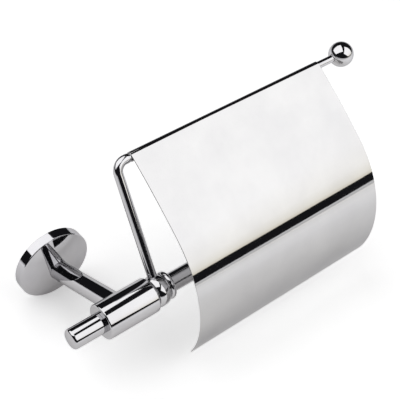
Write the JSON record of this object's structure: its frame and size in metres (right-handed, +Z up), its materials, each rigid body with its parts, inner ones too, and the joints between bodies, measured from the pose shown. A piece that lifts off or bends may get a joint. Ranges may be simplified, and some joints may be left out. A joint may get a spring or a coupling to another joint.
{
  "type": "toilet paper holder",
  "caption": "Wall-mounted toilet paper holder: round rose, rising arm, cross barrel, roll bar, and a curved sheet cover hinged on a bent wire bracket with a ball end.",
  "frame": {"origin": "centre of the wall plate's back face, on the wall, midway between its two screw holes", "axes": "+X along the roll bar towards its free end, -Y away from the wall, +Z up"},
  "size_m": [0.2513, 0.1094, 0.1323],
  "materials": {
    "chrome": "bright chrome plate on turned brass, mirror polished",
    "plated_steel": "zinc-plated steel, satin",
    "cover_sheet": "bright polished sheet with faint rolling lines"
  },
  "bodies": {
    "frame": {"wall_plate": "plated_steel", "rose": "chrome", "rose_set_screw": "plated_steel", "wedge_washer": "plated_steel", "spring_washer": "plated_steel", "arm_screw": "plated_steel", "arm": "chrome", "arm_stud": "plated_steel", "barrel": "chrome", "end_cap": "chrome", "tie_stud": "plated_steel", "spacer_ring": "chrome", "collar": "chrome", "collar_set_screw": "plated_steel", "lock_ring": "chrome", "roll_bar": "chrome", "bar_insert": "plated_steel", "bar_end_plug": "chrome", "wire_bracket": "chrome", "ball_finial": "chrome"},
    "cover": {"cover": "cover_sheet"}
  },
  "joints": [
    {"name": "cover_lift", "type": "hinge", "parent": "frame", "child": "cover", "pos_m": [0.1, -0.03558, 0.09902], "axis": [-1, 0, 0], "range_deg": [-14.8, 150]}
  ]
}
